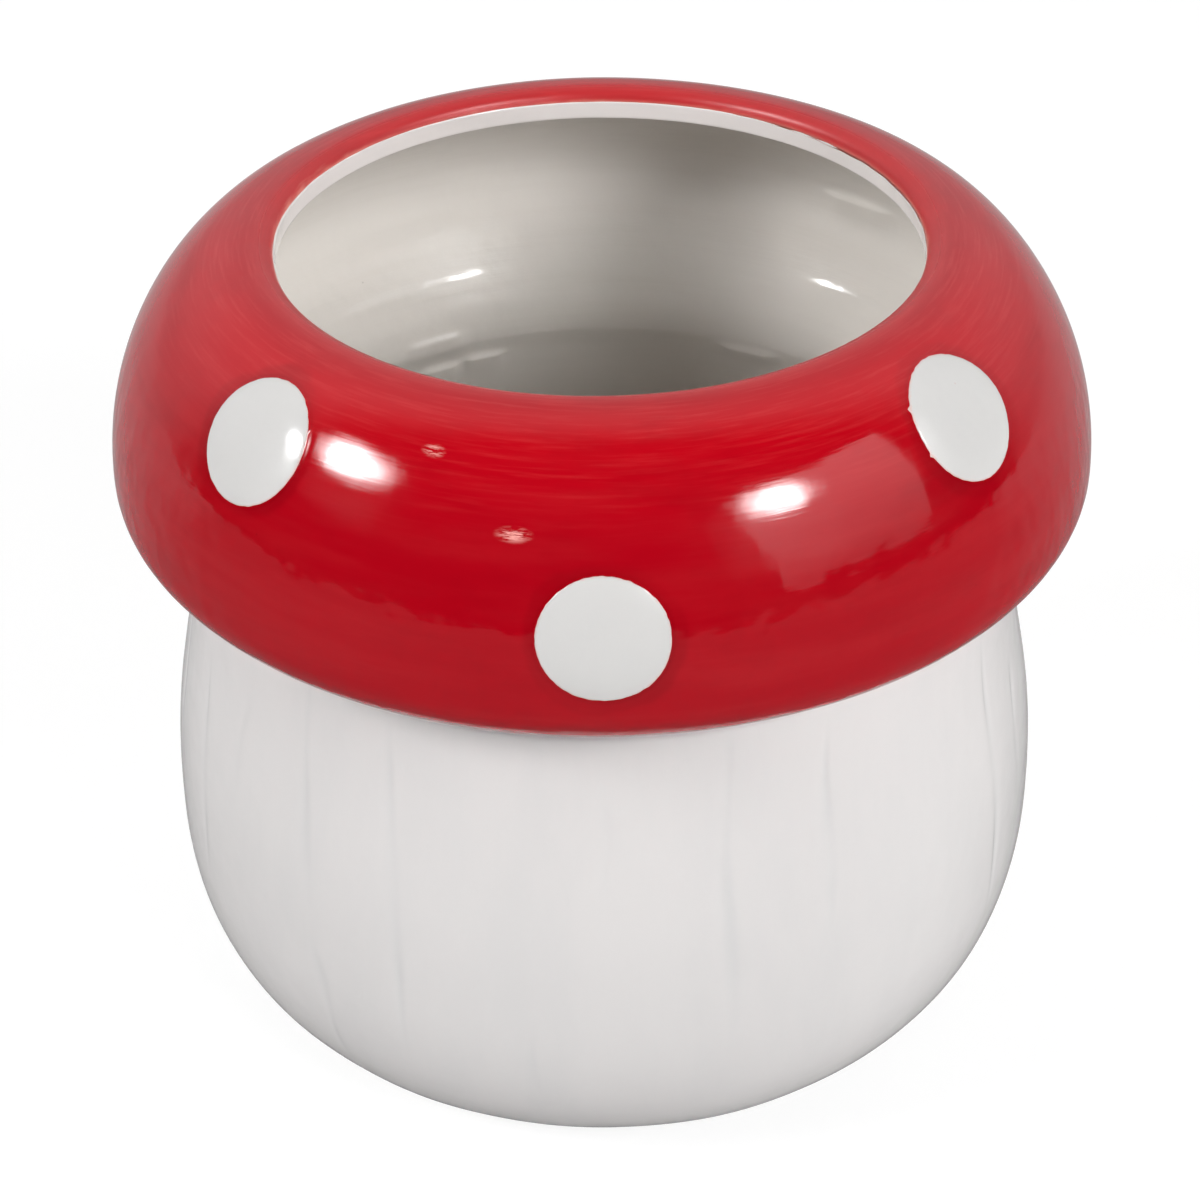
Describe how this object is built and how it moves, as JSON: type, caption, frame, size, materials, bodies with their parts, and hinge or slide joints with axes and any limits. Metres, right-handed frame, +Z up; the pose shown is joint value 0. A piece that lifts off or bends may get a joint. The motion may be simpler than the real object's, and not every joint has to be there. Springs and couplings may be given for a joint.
{
  "type": "decorative mushroom pot",
  "caption": "Decorative glazed mushroom: a belly-shaped white stem pot with a hollow red cap ring around its open mouth and raised white spots on the cap.",
  "frame": {"origin": "centre of the foot ring's underside, on the table", "axes": "+Z up along the axis of revolution, -Y towards the front, where the front spot is, +X to the right seen from the front"},
  "size_m": [0.165, 0.1654, 0.1468],
  "materials": {
    "cast_clay": "matt fired earthenware, bare only on the foot ring",
    "luting_slip": "matt fired slip",
    "white_glaze": "glossy white glaze with faint streaks",
    "inside_glaze": "glossy off-white glaze with ripples",
    "red_glaze": "glossy hand-brushed red glaze, darker where it pools",
    "spot_enamel": "smooth glossy white with a hand-painted edge"
  },
  "bodies": {
    "root": {"stem_pot": "cast_clay", "cap_shell": "cast_clay", "neck_slip": "luting_slip", "stem_glaze": "white_glaze", "inner_glaze": "inside_glaze", "red_glaze": "red_glaze", "front_spot": "spot_enamel", "left_spot": "spot_enamel", "right_spot": "spot_enamel", "rear_left_spot": "spot_enamel", "rear_right_spot": "spot_enamel"}
  },
  "joints": []
}
